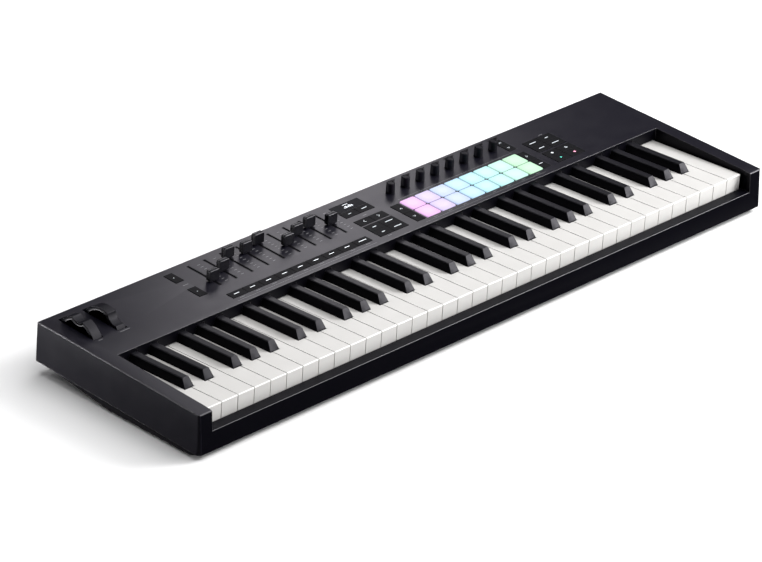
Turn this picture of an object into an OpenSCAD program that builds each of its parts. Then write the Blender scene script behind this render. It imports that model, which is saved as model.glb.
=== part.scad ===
// Keyboard controller synthesizer: five octaves and a top note, pads, faders and knobs.
// Row frame: +X to the player's right, +Y away from the player, +Z up, in millimetres.
// The origin is on the surface it stands on, under the middle of the case.
// Most pieces are drawn on the tilted panel: x along the case, y from the panel's front edge
// towards its back edge, z square to the panel, with z = 0 on the panel's top face.

/* [Case] */
// Width of the case across its top edges
case_w = 888; // [886:1:892]
// Depth of the panel from its front edge to its back edge
case_d = 256; // [256:1:262]
// Height of the moulded case body, square to the panel
case_h = 48; // [47:1:50]
// Angle of the panel above the surface, in degrees
tilt = 1.9; // [1.5:0.1:2.5]
// Height of the panel's front edge above the surface
front_h = 55; // [55:0.5:58]
// Thickness of the panel and of the inner walls
wall = 2.5; // [2:0.1:2.8]
// Thickness of the outer walls
outer_wall = 3; // [2.5:0.1:3]
// Thickness of the rubber feet under the flat part of the base
foot_h = 2; // [1:0.5:2]

/* [Keys] */
// Distance from one white key to the next
key_pitch = 23.5; // [23.3:0.1:23.5]
// Gap between neighbouring white keys
key_gap = 1; // [0.8:0.1:1.2]
// How far the front edge of a key goes down
key_dip = 9.8; // [8:0.2:10]
// Height of a black key above the white keys
black_h = 10.5; // [9:0.5:11]
// Width of a black key at its foot
black_w = 12.6; // [11.6:0.2:12.8]
// Width of a black key along its top
black_top_w = 7.8; // [7:0.2:9]
// Fall of the key tops towards the back, in degrees
key_fall = 4.2; // [4:0.1:4.4]

/* [Faders] */
// Distance from one fader to the next
fader_pitch = 24; // [23.5:0.1:24]
// Travel of a fader
fader_travel = 45; // [40:1:45]
// Width of a fader cap
cap_w = 14.5; // [12:0.5:16]
// Height of a fader cap
cap_h = 13.2; // [10:0.2:15]

/* [Knobs and wheels] */
// Diameter of a knob
knob_d = 10.7; // [9:0.1:13]
// Height of a knob
knob_h = 12.4; // [9:0.2:14]
// Distance from one knob to the next
knob_pitch = 24; // [22:0.5:24]
// Radius of the pitch and modulation wheels
wheel_r = 31; // [30:0.5:31]
// Width of a wheel
wheel_w = 12.2; // [11:0.1:12.4]

/* [Pads] */
// Side of a pad
pad_size = 22.2; // [20:0.1:22.4]
// Distance from one pad to the next
pad_pitch = 24; // [23.9:0.1:24]
// Height of a pad above the panel
pad_rise = 1; // [0.6:0.1:2]

/* [Hidden] */
$fn = 48;

// Colours
charcoal = [0.17, 0.17, 0.18];
dark = [0.09, 0.09, 0.1];
ivory = [0.92, 0.91, 0.88];
board_green = [0.08, 0.3, 0.16];
steel = [0.62, 0.63, 0.65];
rubber_grey = [0.05, 0.05, 0.05];

// Case
side_draft = 1;
front_lean = 3.6;
back_lean = 0.4;
chamfer = 0.8;
nose_drop = 0.6;
nose_len = 14.5;
corner_r = 5;
row_y0 = -(case_d + back_lean - front_lean) / 2 * cos(tilt) - case_h * sin(tilt);
back_in = case_d - outer_wall;
side_in = case_w / 2 + side_draft - outer_wall;

// Base pan: flat under its front half and rising behind the kink
pan_t = 2.5;
pan_front = -1.6;
pan_toe = 12;
pan_kink = 140;
pan_rise = case_d - 6;
pan_inset = 2;
pan_w = case_w + 2 * side_draft - 2 * pan_inset;

// Key well
well_w = 850;
well_back = 148;
rail_z = -24.5;
rail_front = -1.8;
rail_gap = 4.2;
rail_back = 11.9;
rail_skirt = key_dip + rail_gap;
fall_z = -14.2;

// Keys
white_count = 36;
octaves = 5;
key_front = 12.8;
key_top_z = -5.5;
key_base_z = -26;
key_slope = tan(key_fall);
hinge_y = 177;
hinge_z = -21;
hinge_r = 2;
hinge_clear = 0.05;
key_end = hinge_y + 4;
key_wall = 1.6;
key_skin = 2.2;
lip_t = 1.8;
lip_back = 0.35;
guide_y = [19, 27];
guide_gap = 2;
black_front = 60.5;
black_back = 152.5;
black_lean = 6.8;
black_skirt = 8;
notch_gap = 0.6;
notch_front_gap = 0.9;
// Offset of each black key from the joint of its two white keys: C, D, F, G and A sharp
sharp_offset = [-2.4, 2.9, -3.5, 0, 3.5];
// White key to the left of each black key, counted from C
sharp_slot = [0, 1, 3, 4, 5];

// Faders
fader_x0 = -236;
fader_mid = 218.6;
slot_len = 52.8;
slot_w = 2;
cap_d = 6.4;
cap_gap = 0.8;
stem_w = 1.4;
stem_d = 4;
// Where each cap stands, from the middle of its travel
fader_rest = [-14, -4, 14, 10.5, 17, -6, 4.5, 9.5, -1];

// Knobs
knob_x0 = 62.2;
knob_y = 229.7;
knob_gap = 0.8;
shaft_r = 3;

// Wheels
wheel_y = 215;
wheel_z = 14.3 - wheel_r;
wheel_slot = [13.4, 58.8];
pitch_x = -417.4;
mod_x = -383.5;
rim_t = 4.2;
notch_r = 11.6;
notch_at = wheel_r + 6.9;
mod_rest = 35;
axle_r = 3;

// Pads and buttons
pad_x0 = 53.1;
pad_y0 = 160;
pad_hole_gap = 0.35;
pad_depth = 7;
button_rise = 0.5;
button_gap = 0.5;
button_depth = 2.6;
plunger_z = -9.6;

// Button blocks: left edge, front edge, width, depth, columns, rows
octave_down = [-272.4, 186, 12.4, 21, 1, 1];
octave_up = [-272.4, 224.3, 12.4, 21, 1, 1];
fader_block = [-246.5, 159.8, 212.5, 12.4, 9, 1];
display_block = [-21.8, 214.8, 45.3, 13.2, 2, 1];
track_block = [-21.8, 191, 45.3, 13.3, 2, 1];
edit_block = [-21.8, 159.8, 45.3, 29, 2, 2];
bank_block = [36.6, 159.8, 13.8, 45, 1, 2];
scene_block = [244.6, 159.8, 11.8, 45, 1, 2];
encoder_block = [243.7, 214.8, 12.4, 29.8, 1, 2];
function_block = [269, 190.9, 46.2, 29, 2, 2];
transport_block = [269, 159.8, 46.2, 28.4, 2, 2];
blocks = [octave_down, octave_up, fader_block, display_block, track_block, edit_block, bank_block,
          scene_block, encoder_block, function_block, transport_block];

// Display
screen = [-21.8, 228.6, 45.3, 16.4];

// Inner parts
board_z = -12;
board_t = 1.6;
main_z = -34;
socket_z = -22;
jack_x = [-340, -312];
jack_r = 3.25;
jack_len = 25;
midi_x = -276;
midi_r = 7.8;
usb_x = -240;
lock_x = 395;
far = 1200;

// Screws: x, y. The first nine hold the top case, the others hold the key frame.
cheek_x = 434.5;
rear_y = case_d - 6.8;
case_screw_at = concat(
    [for (x = [-cheek_x, cheek_x], y = [20, 110]) [x, y]],
    [for (x = [-cheek_x, -200, 0, 200, cheek_x]) [x, rear_y]]
);
frame_screw_at = [for (x = [-300, 0, 300], y = [32, 152]) [x, y]];
screw_head_r = 3;
screw_r = 1.4;
screw_len = 10;
boss_r = 3.8;

// Lower face of the base pan, in panel coordinates
function pan_flat(y) = (foot_h - front_h - y * sin(tilt)) / cos(tilt);
function pan_low(y) = y <= pan_kink
    ? pan_flat(y)
    : pan_flat(pan_kink) + (y - pan_kink) / (pan_rise - pan_kink) * (-case_h - pan_flat(pan_kink));
function pan_top(y) = pan_low(y) + 4.1;
function screw_seat(y) = pan_low(y) + 2.1;
function white_z(y) = key_top_z - (y - key_front) * key_slope;
function white_x(k) = (k - white_count / 2) * key_pitch;
function sharp_x(octave, s) = white_x(octave * 7 + sharp_slot[s] + 1) + sharp_offset[s];
function fader_x(i) = fader_x0 + i * fader_pitch;
function knob_x(i) = knob_x0 + i * knob_pitch;

// Places its children on the tilted panel
module on_panel() {
    translate([0, row_y0, front_h]) rotate([tilt, 0, 0]) children();
}

// A side outline, as y and z points, drawn out along x
module along_x(x0, x1) {
    translate([x0, 0, 0]) rotate([90, 0, 90]) linear_extrude(x1 - x0) children();
}

// A front outline, as x and z points, drawn out along y
module along_y(y0, y1) {
    translate([0, y1, 0]) rotate([90, 0, 0]) linear_extrude(y1 - y0) children();
}

// A box given by its lowest and highest corners
module span(a, b) {
    translate(a) cube(b - a);
}

// ---- Case ----

module case_side() {
    polygon([[0, -chamfer - nose_drop], [chamfer, -nose_drop], [nose_len, 0],
             [case_d - chamfer, 0], [case_d, -chamfer],
             [case_d + back_lean, -case_h], [-front_lean, -case_h]]);
}

module case_front() {
    half = case_w / 2;
    polygon([[-half, -chamfer], [-half + chamfer, 0], [half - chamfer, 0], [half, -chamfer],
             [half + side_draft, -case_h], [-half - side_draft, -case_h]]);
}

// Plan of the case with round front corners, leaning with the front face
module case_corners() {
    half = case_w / 2 + side_draft;
    rotate([-atan(front_lean / case_h), 0, 0]) translate([0, 0, -case_h - 20])
        linear_extrude(case_h + 40) {
            translate([-half, corner_r]) square([2 * half, case_d + 40]);
            translate([-half + corner_r, 0]) square([2 * (half - corner_r), corner_r + 1]);
            for (x = [-half + corner_r, half - corner_r]) translate([x, corner_r]) circle(corner_r);
        }
}

module case_block() {
    intersection() {
        along_x(-far / 2, far / 2) case_side();
        along_y(-40, case_d + 40) case_front();
        case_corners();
    }
}

// The hollows under the panel, behind the cheeks and under the front rail
module case_hollows() {
    well = well_w / 2;
    low = -case_h - 1;
    span([-side_in, well_back + wall, low], [side_in, back_in, -wall]);
    for (s = [-1, 1]) {
        x0 = s > 0 ? well + wall : -side_in;
        x1 = s > 0 ? side_in : -well - wall;
        span([x0, outer_wall + 1, low], [x1, well_back + wall + 1, -wall]);
    }
    span([-well, rail_front + outer_wall, low], [well, rail_back - wall, rail_z - wall]);
    span([-well, rail_back - wall - 1, low], [well, rail_back, rail_z - rail_skirt]);
    span([-well, rail_back, low], [well, well_back + wall + 1, fall_z]);
}

// The key well, open at the top and above the front rail
module key_well() {
    well = well_w / 2;
    span([-well, -20, rail_z], [well, rail_back + 1, 20]);
    span([-well, rail_back, fall_z - 1], [well, well_back, 20]);
}

// Openings in the fall wall over the black keys, in the shape of a key's end
module fall_notches() {
    foot = black_w / 2 + 0.9;
    top = black_top_w / 2 + 1;
    for (o = [0:octaves - 1], s = [0:4])
        translate([sharp_x(o, s), 0, 0]) along_y(well_back - 1, well_back + wall + 1)
            polygon([[-foot, fall_z - 2], [foot, fall_z - 2], [foot, fall_z],
                     [top, -3.9], [-top, -3.9], [-foot, fall_z]]);
}

module block_window(b) {
    span([b[0], b[1], -wall - 1], [b[0] + b[2], b[1] + b[3], 1]);
}

module panel_openings() {
    for (b = blocks) block_window(b);
    block_window(screen);
    for (i = [0:8])
        span([fader_x(i) - slot_w / 2, fader_mid - slot_len / 2, -wall - 1],
             [fader_x(i) + slot_w / 2, fader_mid + slot_len / 2, 1]);
    for (i = [0:7]) translate([knob_x(i), knob_y, -wall - 1]) cylinder(r = shaft_r + 0.6, h = wall + 2);
    for (x = [pitch_x, mod_x])
        span([x - wheel_slot[0] / 2, wheel_y + 0.7 - wheel_slot[1] / 2, -wall - 1],
             [x + wheel_slot[0] / 2, wheel_y + 0.7 + wheel_slot[1] / 2, 1]);
    hole = pad_size + 2 * pad_hole_gap;
    for (i = [0:7], j = [0:1])
        translate([pad_x0 + i * pad_pitch - pad_hole_gap, pad_y0 + j * pad_pitch - pad_hole_gap,
                   -wall - 1]) cube([hole, hole, wall + 2]);
}

module rear_openings() {
    for (x = jack_x) translate([x, back_in - 1, socket_z]) rotate([-90, 0, 0]) cylinder(r = 6.3, h = 8);
    translate([midi_x, back_in - 1, socket_z]) rotate([-90, 0, 0]) cylinder(r = midi_r + 0.2, h = 8);
    span([usb_x - 5, back_in - 1, socket_z - 2.2], [usb_x + 5, case_d + 5, socket_z + 2.2]);
    span([lock_x - 3.5, back_in - 1, socket_z - 1.5], [lock_x + 3.5, case_d + 5, socket_z + 1.5]);
}

module top_case() {
    color(charcoal) on_panel() difference() {
        union() {
            difference() {
                case_block();
                case_hollows();
            }
            for (p = case_screw_at)
                translate([p[0], p[1], pan_top(p[1])]) cylinder(r = boss_r, h = -wall + 1 - pan_top(p[1]));
        }
        key_well();
        fall_notches();
        panel_openings();
        rear_openings();
        for (p = case_screw_at)
            translate([p[0], p[1], pan_top(p[1]) - 1]) cylinder(r = screw_r + 0.05, h = screw_len + 3);
    }
}

// ---- Base ----

module pan_outline() {
    polygon([[pan_front, -case_h], [pan_toe, pan_low(pan_toe)], [pan_kink, pan_low(pan_kink)],
             [pan_rise, -case_h], [back_in - 0.3, -case_h], [back_in - 0.3, 0], [pan_front, 0]]);
}

module pan_floor() {
    polygon([[pan_front, -case_h], [pan_toe, pan_low(pan_toe)], [pan_kink, pan_low(pan_kink)],
             [pan_rise, -case_h], [back_in - 0.3, -case_h], [back_in - 0.3, -case_h + pan_t],
             [pan_rise - 1, -case_h + pan_t], [pan_kink, pan_low(pan_kink) + pan_t],
             [pan_toe + 1, pan_low(pan_toe) + pan_t], [pan_front + 6, -case_h]]);
}

module pan_cheek() {
    polygon([[pan_front, -case_h], [pan_toe, pan_low(pan_toe)], [pan_kink, pan_low(pan_kink)],
             [pan_rise, -case_h]]);
}

module bottom_case() {
    half = pan_w / 2;
    color(dark) on_panel() difference() {
        intersection() {
            union() {
                along_x(-half + pan_t - 0.5, half - pan_t + 0.5) pan_floor();
                along_x(-half, -half + pan_t) pan_cheek();
                along_x(half - pan_t, half) pan_cheek();
                for (p = concat(case_screw_at, frame_screw_at))
                    translate([p[0], p[1], pan_low(p[1]) - 1]) cylinder(r = 5, h = 5.1);
            }
            along_x(-half, half) pan_outline();
        }
        for (p = concat(case_screw_at, frame_screw_at)) translate([p[0], p[1], pan_low(p[1]) - 2]) {
            cylinder(r = screw_head_r + 0.4, h = 4.1);
            cylinder(r = screw_r + 0.2, h = 9);
        }
    }
}

module rubber_feet() {
    color(rubber_grey) difference() {
        for (x = [-400, 0, 400], y = [30, 225])
            translate([x, row_y0 + y, 0]) cylinder(r = 10, h = 20);
        on_panel() along_x(-far / 2, far / 2) polygon([
            [-20, pan_low(-20)], [pan_kink, pan_low(pan_kink)], [pan_rise, -case_h],
            [case_d, -case_h], [case_d, 20], [-20, 20]]);
    }
}

module case_screws() {
    color(steel) on_panel() for (p = concat(case_screw_at, frame_screw_at))
        translate([p[0], p[1], screw_seat(p[1])]) difference() {
            union() {
                translate([0, 0, -1.9]) cylinder(r = screw_head_r, h = 1.9);
                translate([0, 0, -1]) cylinder(r = screw_r, h = screw_len + 1);
            }
            for (a = [0, 90]) rotate([0, 0, a]) translate([-1.8, -0.35, -2.4]) cube([3.6, 0.7, 1.3]);
        }
}

// ---- Key bed ----

module key_frame() {
    ridge_w = 2;
    guide_top = white_z(guide_y[1]) - key_skin - key_dip - guide_gap;
    post_z = pan_low(116) + pan_t;
    color(steel) on_panel() difference() {
        union() {
            span([-423, 14, -41], [423, hinge_y + 12, -39]);
            span([-423, hinge_y - ridge_w / 2, -40], [423, hinge_y + ridge_w / 2, hinge_z]);
            translate([-423, hinge_y, hinge_z]) rotate([0, 90, 0]) cylinder(r = hinge_r, h = 846);
            for (k = [0:white_count - 1])
                span([white_x(k + 0.5) - 3, guide_y[0], -40],
                     [white_x(k + 0.5) + 3, guide_y[1], guide_top]);
            for (p = frame_screw_at)
                translate([p[0], p[1], pan_top(p[1])]) cylinder(r = boss_r, h = -40 - pan_top(p[1]));
            for (x = [-405, -150, 150, 405])
                translate([x, 120, post_z]) cylinder(r = 4, h = -40 - post_z);
        }
        for (p = frame_screw_at)
            translate([p[0], p[1], pan_top(p[1]) - 1]) cylinder(r = screw_r + 0.05, h = screw_len + 3);
        for (x = [-380:40:380])
            span([x - 14, 45, -42], [x + 14, 85, -38]);
    }
}

module key_contact_board() {
    dome_y = 125;
    color(board_green) on_panel() {
        span([-420, 100, -38], [420, 150, -38 + board_t]);
        for (x = [-415:166:415]) span([x - 4, 140, -39], [x + 4, 148, -38]);
        for (k = [0:white_count - 1])
            translate([white_x(k + 0.5), dome_y - 8, -38]) cylinder(r = 3.5, h = 6);
        for (o = [0:octaves - 1], s = [0:4])
            translate([sharp_x(o, s), dome_y + 8, -38]) cylinder(r = 3.5, h = 5);
    }
}

// Cuts the room for a black key out of its white neighbours
module sharp_notch(x) {
    half = black_w / 2 + notch_gap;
    span([x - half, black_front - notch_front_gap, -40], [x + half, 300, 10]);
}

// Side outline of a white key, with a lip along its front edge
module white_side() {
    polygon([[key_front, key_top_z], [key_end, white_z(key_end)], [key_end, key_base_z],
             [key_front + lip_back, key_base_z], [key_front + lip_back, key_top_z - lip_t],
             [key_front, key_top_z - lip_t]]);
}

// Side outline of the hollow inside a white key, open underneath
module white_hollow() {
    y0 = key_front + key_skin;
    y1 = hinge_y - 6;
    polygon([[y0, white_z(y0) - key_skin], [y1, white_z(y1) - key_skin],
             [y1, key_base_z - 1], [y0, key_base_z - 1]]);
}

// The clip at a key's back end, which turns on the frame's ridge
module hinge_clip(x0, x1) {
    translate([x0 - 1, hinge_y, hinge_z]) rotate([0, 90, 0])
        cylinder(r = hinge_r + hinge_clear, h = x1 - x0 + 2);
    along_x(x0 - 1, x1 + 1) polygon([[hinge_y - 1.1, hinge_z], [hinge_y - 1.7, key_base_z - 1],
                                     [hinge_y + 1.7, key_base_z - 1], [hinge_y + 1.1, hinge_z]]);
}

// White key number k, with the black keys beside it, given by their middles, cut out of it
module white_key(k, sharps = []) {
    x0 = white_x(k) + key_gap / 2;
    x1 = white_x(k + 1) - key_gap / 2;
    left = [for (s = sharps) if (s < (x0 + x1) / 2) s + black_w / 2 + notch_gap];
    right = [for (s = sharps) if (s > (x0 + x1) / 2) s - black_w / 2 - notch_gap];
    neck0 = len(left) > 0 ? left[0] : x0;
    neck1 = len(right) > 0 ? right[0] : x1;
    shoulder = black_front - notch_front_gap;
    difference() {
        along_x(x0, x1) white_side();
        for (s = sharps) sharp_notch(s);
        intersection() {
            along_x(neck0 + key_wall, neck1 - key_wall) white_hollow();
            span([x0, 0, -60], [x1, 300, 20]);
        }
        intersection() {
            along_x(x0 + key_wall, x1 - key_wall) white_hollow();
            span([x0, 0, -60], [x1, shoulder - key_wall, 20]);
        }
        hinge_clip(x0, x1);
    }
}

// One white key in every octave: w is its place from C, and sharps its black neighbours
module white_keys(w, sharps) {
    color(ivory) on_panel() for (o = [0:octaves - 1])
        white_key(o * 7 + w, [for (s = sharps) sharp_x(o, s)]);
}

module black_key(x) {
    half = black_w / 2;
    top = black_top_w / 2;
    base = white_z(black_front);
    intersection() {
        translate([x, black_front, base]) rotate([-key_fall, 0, 0]) along_y(-1, 120)
            polygon([[-half, -black_skirt], [half, -black_skirt], [half, 1], [top + 0.8, black_h - 1],
                     [top, black_h], [-top, black_h], [-top - 0.8, black_h - 1], [-half, 1]]);
        along_x(x - half - 1, x + half + 1)
            polygon([[black_front, -40], [black_front, base + 0.6],
                     [black_front + black_lean, base + black_h + 0.1],
                     [black_front + black_lean, 20], [black_back, 20], [black_back, -40]]);
    }
    difference() {
        span([x - 4.8, 75, key_base_z - 1], [x + 4.8, key_end, -17.2]);
        hinge_clip(x - 4.8, x + 4.8);
    }
}

module black_keys(s) {
    color(dark) on_panel() for (o = [0:octaves - 1]) black_key(sharp_x(o, s));
}

module keys_c() { white_keys(0, [0]); }
module keys_d() { white_keys(1, [0, 1]); }
module keys_e() { white_keys(2, [1]); }
module keys_f() { white_keys(3, [2]); }
module keys_g() { white_keys(4, [2, 3]); }
module keys_a() { white_keys(5, [3, 4]); }
module keys_b() { white_keys(6, [4]); }
module key_top_c() { color(ivory) on_panel() white_key(octaves * 7); }
module keys_c_sharp() { black_keys(0); }
module keys_d_sharp() { black_keys(1); }
module keys_f_sharp() { black_keys(2); }
module keys_g_sharp() { black_keys(3); }
module keys_a_sharp() { black_keys(4); }

// ---- Wheels ----

// A wheel about x, its finger notch turned by angle towards the player
module finger_wheel(x, angle) {
    half = wheel_w / 2;
    color(dark) on_panel() translate([x, wheel_y, wheel_z]) rotate([angle, 0, 0]) rotate([0, 90, 0])
        difference() {
            translate([0, 0, -half]) cylinder(r = wheel_r, h = wheel_w, $fn = 96);
            for (s = [-1, 1]) translate([0, 0, s > 0 ? 2 : -half - 1]) difference() {
                cylinder(r = wheel_r - rim_t, h = half - 1, $fn = 96);
                translate([0, 0, -1]) cylinder(r = axle_r + 3, h = half + 1);
                translate([-notch_at, 0, -1]) cylinder(r = notch_r + rim_t, h = half + 1, $fn = 96);
            }
            translate([-notch_at, 0, -half - 1]) cylinder(r = notch_r, h = wheel_w + 2, $fn = 96);
            translate([0, 0, -half - 1]) cylinder(r = axle_r + 0.05, h = wheel_w + 2);
            translate([10, -wheel_r - 1, -half - 1]) cube([wheel_r, 2 * wheel_r + 2, wheel_w + 2]);
        }
}

module pitch_wheel() { finger_wheel(pitch_x, 0); }
module mod_wheel() { finger_wheel(mod_x, mod_rest); }

// Brackets that carry the two wheels on their axles
module wheel_housing() {
    plate = 2;
    reach = wheel_w / 2 + 1;
    color(dark) on_panel() for (x = [pitch_x, mod_x]) {
        for (s = [-1, 1]) {
            edge = x + s * (reach + plate / 2);
            span([edge - plate / 2, wheel_y - 9, -45], [edge + plate / 2, wheel_y + 9, -wall]);
        }
        span([x - reach - 1, wheel_y - 9, -47], [x + reach + 1, wheel_y + 9, -45]);
        translate([x - reach - 1, wheel_y, wheel_z]) rotate([0, 90, 0])
            cylinder(r = axle_r, h = 2 * reach + 2);
    }
}

// ---- Faders ----

module fader_cap(i) {
    groove_y = 0.4;
    color(dark) on_panel() translate([fader_x(i), fader_mid + fader_rest[i], 0]) {
        difference() {
            span([-cap_w / 2, -cap_d / 2, cap_gap], [cap_w / 2, cap_d / 2, cap_gap + cap_h]);
            difference() {
                span([-cap_w, groove_y, 0], [cap_w, groove_y + 0.7, cap_h + 2]);
                span([-cap_w / 2 + 0.8, groove_y - 1, -1],
                     [cap_w / 2 - 0.8, groove_y + 2, cap_gap + cap_h - 0.8]);
            }
        }
        span([-stem_w / 2, -stem_d / 2, -7.5], [stem_w / 2, stem_d / 2, cap_gap + 1]);
    }
}

module fader_bodies() {
    run = fader_travel / 2 + stem_d / 2 + 0.6;
    color(steel) on_panel() for (i = [0:8]) translate([fader_x(i), fader_mid, 0]) difference() {
        span([-4.5, -29, board_z + board_t], [4.5, 29, -3.4]);
        span([-1.2, -run, -8.5], [1.2, run, 0]);
    }
}

// ---- Encoders ----

module encoder_knob(i) {
    r = knob_d / 2;
    top = knob_gap + knob_h;
    color(dark) on_panel() translate([knob_x(i), knob_y, 0]) difference() {
        union() {
            rotate_extrude() polygon([[0, knob_gap], [r, knob_gap], [r, knob_gap + 1.2], [r - 0.4, top - 0.6],
                                      [r - 1, top], [r - 2, top], [r - 2.4, top - 0.4], [0, top - 0.4]]);
            translate([0, 0, -7.6]) cylinder(r = shaft_r, h = 9);
        }
        span([-0.4, r - 2, top - 1.2], [0.4, r + 1, top + 1]);
    }
}

module encoder_bodies() {
    color(steel) on_panel() for (i = [0:7]) translate([knob_x(i), knob_y, 0]) difference() {
        span([-6, -6.2, board_z + board_t], [6, 6.2, -3.6]);
        translate([0, 0, -8]) cylinder(r = shaft_r + 0.1, h = 10);
    }
}

// ---- Pads ----

// One moulding of eight pads on a common sheet
module pad_row(j) {
    margin = 0.7;
    on_panel() translate([pad_x0, pad_y0 + j * pad_pitch, 0]) {
        for (i = [0:7])
            color([0.7, 0.8, 0.95]) translate([i * pad_pitch, 0, pad_rise - pad_depth])
                cube([pad_size, pad_size, pad_depth]);
        color([0.7, 0.7, 0.75]) span([-margin, -margin, -7], [7 * pad_pitch + pad_size + margin,
                                                           pad_size + margin, -5.2]);
    }
}

module pad_row_front() { pad_row(0); }
module pad_row_back() { pad_row(1); }

// ---- Buttons ----

// One button: a flat cap with a short plunger under its middle
module button(x0, y0, x1, y1) {
    span([x0, y0, button_rise - button_depth], [x1, y1, button_rise]);
    span([(x0 + x1) / 2 - 2, (y0 + y1) / 2 - 2, plunger_z],
         [(x0 + x1) / 2 + 2, (y0 + y1) / 2 + 2, -1.5]);
}

// A block of equal buttons that fills its window
module button_block(b) {
    cw = b[2] / b[4];
    ch = b[3] / b[5];
    g = button_gap / 2;
    color(dark) on_panel() for (c = [0:b[4] - 1], r = [0:b[5] - 1])
        button(b[0] + c * cw + g, b[1] + r * ch + g, b[0] + (c + 1) * cw - g, b[1] + (r + 1) * ch - g);
}

// The strip of buttons under the faders: each is centred on its fader
module fader_buttons() {
    b = fader_block;
    g = button_gap / 2;
    color(dark) on_panel() for (i = [0:8])
        button(max(b[0], fader_x(i) - fader_pitch / 2) + g, b[1] + g,
               min(b[0] + b[2], fader_x(i) + fader_pitch / 2) - g, b[1] + b[3] - g);
}

module octave_buttons() {
    button_block(octave_down);
    button_block(octave_up);
}
module display_buttons() { button_block(display_block); }
module track_buttons() { button_block(track_block); }
module edit_buttons() { button_block(edit_block); }
module pad_bank_buttons() { button_block(bank_block); }
module scene_buttons() { button_block(scene_block); }
module encoder_bank_buttons() { button_block(encoder_block); }
module function_buttons() { button_block(function_block); }
module transport_buttons() { button_block(transport_block); }

// ---- Display ----

module display_window() {
    gap = 0.15;
    color([0.05, 0.05, 0.06]) on_panel()
        span([screen[0] + gap, screen[1] + gap, -1.2],
             [screen[0] + screen[2] - gap, screen[1] + screen[3] - gap, 0.1]);
}

module display_module() {
    gap = 0.8;
    color([0.1, 0.12, 0.16]) on_panel() {
        span([screen[0] + gap, screen[1] + gap, -4.6],
             [screen[0] + screen[2] - gap, screen[1] + screen[3] - gap, -1.2]);
        span([screen[0] + 6, screen[1] + 3, board_z + board_t],
             [screen[0] + screen[2] - 6, screen[1] + screen[3] - 3, -4.6]);
    }
}

// ---- Boards and rear sockets ----

module panel_board() {
    color(board_green) on_panel() {
        span([-280, 156, board_z], [322, 245, board_z + board_t]);
        for (x = [-190, -90, 120, 290]) span([x, 176, board_z - 1.4], [x + 14, 190, board_z]);
    }
}

module main_board() {
    color(board_green) on_panel() {
        span([-362, 200, main_z], [-215, back_in - 1, main_z + board_t]);
        for (x = [-345, -235]) span([x, 206, pan_low(206) + pan_t + 0.9], [x + 6, 212, main_z]);
        span([-300, 204, main_z + board_t], [-284, 220, main_z + board_t + 1.4]);
        span([-270, 204, main_z + board_t], [-262, 212, main_z + board_t + 1.4]);
    }
}

// Sockets face the back of the case, with their mouths flush with it
module socket_at(x) {
    translate([x, case_d, socket_z]) rotate([-90, 0, 0]) children();
}

module pedal_jacks() {
    color(dark) on_panel() for (x = jack_x) socket_at(x) difference() {
        union() {
            translate([0, 0, -6]) cylinder(r = 6, h = 6);
            translate([-7, -7, -32]) cube([14, 14, 28]);
            translate([-4, 6, -30]) cube([8, -(main_z + board_t - socket_z) - 6, 24]);
        }
        translate([0, 0, -jack_len]) cylinder(r = jack_r, h = jack_len + 1);
    }
}

module midi_socket() {
    pin_r = 0.9;
    ring_r = 4;
    color(dark) on_panel() socket_at(midi_x) difference() {
        union() {
            translate([0, 0, -6]) cylinder(r = midi_r, h = 6);
            translate([-9, -8, -20]) cube([18, 8 - (main_z + board_t - socket_z), 16]);
        }
        for (a = [0:45:180]) rotate([0, 0, a]) translate([ring_r, 0, -8]) cylinder(r = pin_r, h = 9);
        translate([-1.2, midi_r - 3, -5]) cube([2.4, 4, 6]);
    }
}

module usb_socket() {
    color(steel) on_panel() socket_at(usb_x) {
        difference() {
            translate([-4.8, -2, -9]) cube([9.6, 4, 9]);
            translate([-4.2, -1.4, -8]) cube([8.4, 2.8, 9]);
        }
        translate([-3.3, -0.35, -8.5]) cube([6.6, 0.7, 7.5]);
        translate([-4, 2, -9]) cube([8, -(main_z + board_t - socket_z) - 2, 6]);
    }
}

top_case();
bottom_case();
key_frame();
key_contact_board();
main_board();
panel_board();
display_module();
display_window();
rubber_feet();
case_screws();
usb_socket();
pedal_jacks();
midi_socket();
fader_bodies();
encoder_bodies();
wheel_housing();
keys_c();
keys_c_sharp();
keys_d();
keys_d_sharp();
keys_e();
keys_f();
keys_f_sharp();
keys_g();
keys_g_sharp();
keys_a();
keys_a_sharp();
keys_b();
key_top_c();
pitch_wheel();
mod_wheel();
pad_row_front();
pad_row_back();
octave_buttons();
fader_buttons();
display_buttons();
track_buttons();
edit_buttons();
pad_bank_buttons();
scene_buttons();
encoder_bank_buttons();
function_buttons();
transport_buttons();
fader_cap(0);  // fader_cap_1
fader_cap(1);  // fader_cap_2
fader_cap(2);  // fader_cap_3
fader_cap(3);  // fader_cap_4
fader_cap(4);  // fader_cap_5
fader_cap(5);  // fader_cap_6
fader_cap(6);  // fader_cap_7
fader_cap(7);  // fader_cap_8
fader_cap(8);  // fader_cap_9
encoder_knob(0);  // encoder_knob_1
encoder_knob(1);  // encoder_knob_2
encoder_knob(2);  // encoder_knob_3
encoder_knob(3);  // encoder_knob_4
encoder_knob(4);  // encoder_knob_5
encoder_knob(5);  // encoder_knob_6
encoder_knob(6);  // encoder_knob_7
encoder_knob(7);  // encoder_knob_8
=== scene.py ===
"""Looks of a keyboard controller synthesizer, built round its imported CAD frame.

Lengths are in metres. Most pieces are drawn in panel coordinates: x along the case, y from the
panel's front edge to its back edge, z square to the panel, with z = 0 on the panel's top face.
"""

import math

import bmesh
import bpy
from mathutils import Matrix, Vector


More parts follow.
